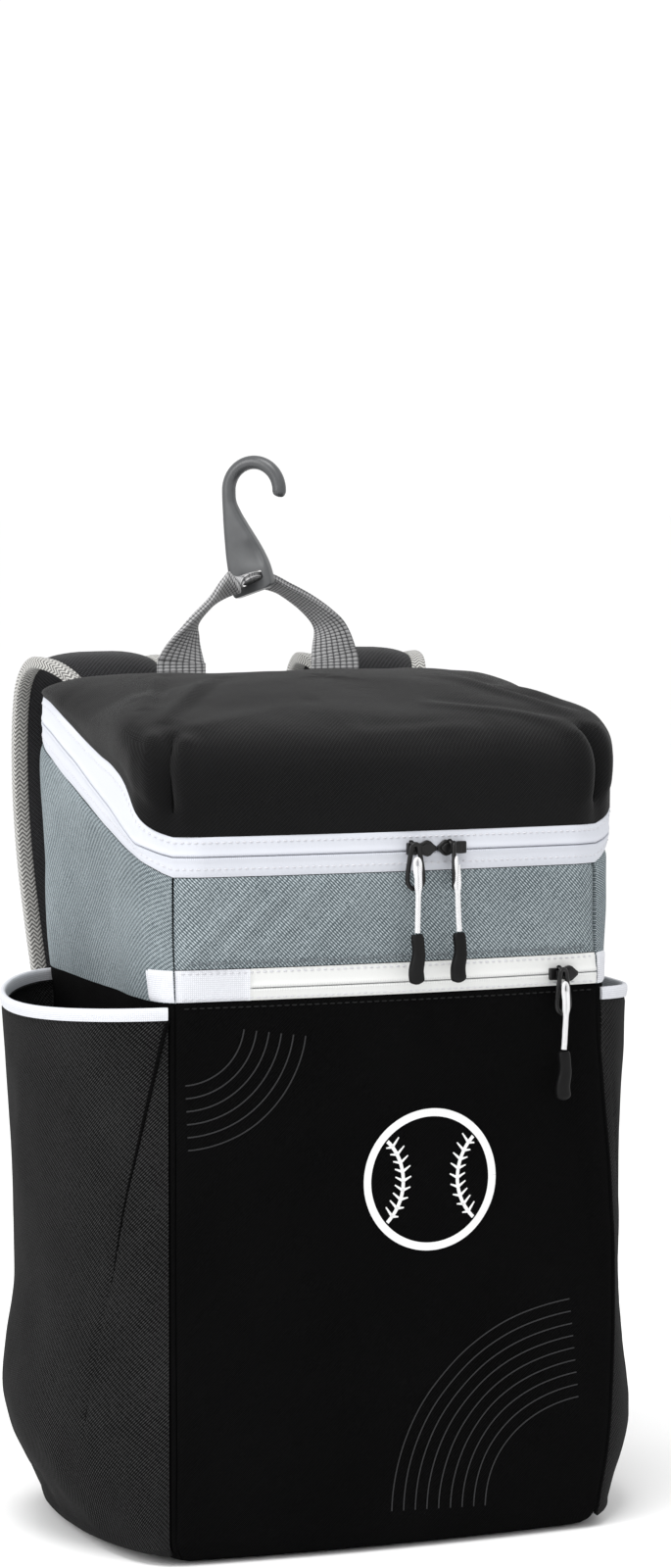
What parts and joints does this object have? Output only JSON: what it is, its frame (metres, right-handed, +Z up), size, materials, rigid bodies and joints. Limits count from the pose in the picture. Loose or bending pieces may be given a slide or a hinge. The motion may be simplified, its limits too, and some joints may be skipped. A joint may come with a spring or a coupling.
{
  "type": "baseball bat backpack",
  "caption": "Upright cloth backpack with a domed zipped lid, a zipped front pocket, open side pockets, padded shoulder straps and a haul loop that carries a fence hook.",
  "frame": {"origin": "middle of the flat base, on the surface that the bag stands on", "axes": "+X to the right seen from the front, +Y to the back where the shoulder straps are, +Z up"},
  "size_m": [0.3605, 0.308, 0.5986],
  "materials": {
    "black_cloth": "black woven polyester",
    "padded_cloth": "black padded polyester",
    "grey_cloth": "blue-grey twill polyester",
    "front_tape": "warm white coated zip tape",
    "lid_tape": "cool white woven zip tape",
    "grey_webbing": "grey basket-weave webbing",
    "black_webbing": "black nylon webbing",
    "light_trim": "light grey woven binding",
    "hook_plastic": "satin dark grey plastic",
    "black_moulding": "black moulded plastic",
    "white_cord": "white braided cord"
  },
  "bodies": {
    "root": {"front_panel": "black_cloth", "front_zip_tape": "front_tape", "front_grey_panel": "grey_cloth", "side_panel_left": "grey_cloth", "side_panel_right": "grey_cloth", "back_panel": "padded_cloth", "base_panel": "black_cloth", "lid": "black_cloth", "lid_zip_tape": "lid_tape", "bottle_pocket": "black_cloth", "bottle_pocket_binding": "lid_tape", "bat_pocket": "black_cloth", "bat_pocket_binding": "lid_tape", "haul_loop": "grey_webbing", "fence_hook": "hook_plastic", "shoulder_strap_left": "padded_cloth", "strap_binding_left_outer": "light_trim", "strap_binding_left_inner": "light_trim", "ladder_lock_left": "hook_plastic", "strap_webbing_left": "black_webbing", "strap_tab_left": "black_cloth", "shoulder_strap_right": "padded_cloth", "strap_binding_right_outer": "light_trim", "strap_binding_right_inner": "light_trim", "ladder_lock_right": "hook_plastic", "strap_webbing_right": "black_webbing", "strap_tab_right": "black_cloth", "lid_left_zip_slider": "black_moulding", "lid_left_pull_ring": "black_moulding", "lid_left_pull_cord": "white_cord", "lid_left_cord_end": "black_moulding", "lid_right_zip_slider": "black_moulding", "lid_right_pull_ring": "black_moulding", "lid_right_pull_cord": "white_cord", "lid_right_cord_end": "black_moulding", "pocket_zip_slider": "black_moulding", "pocket_pull_ring": "black_moulding", "pocket_pull_cord": "white_cord", "pocket_cord_end": "black_moulding"}
  },
  "joints": []
}
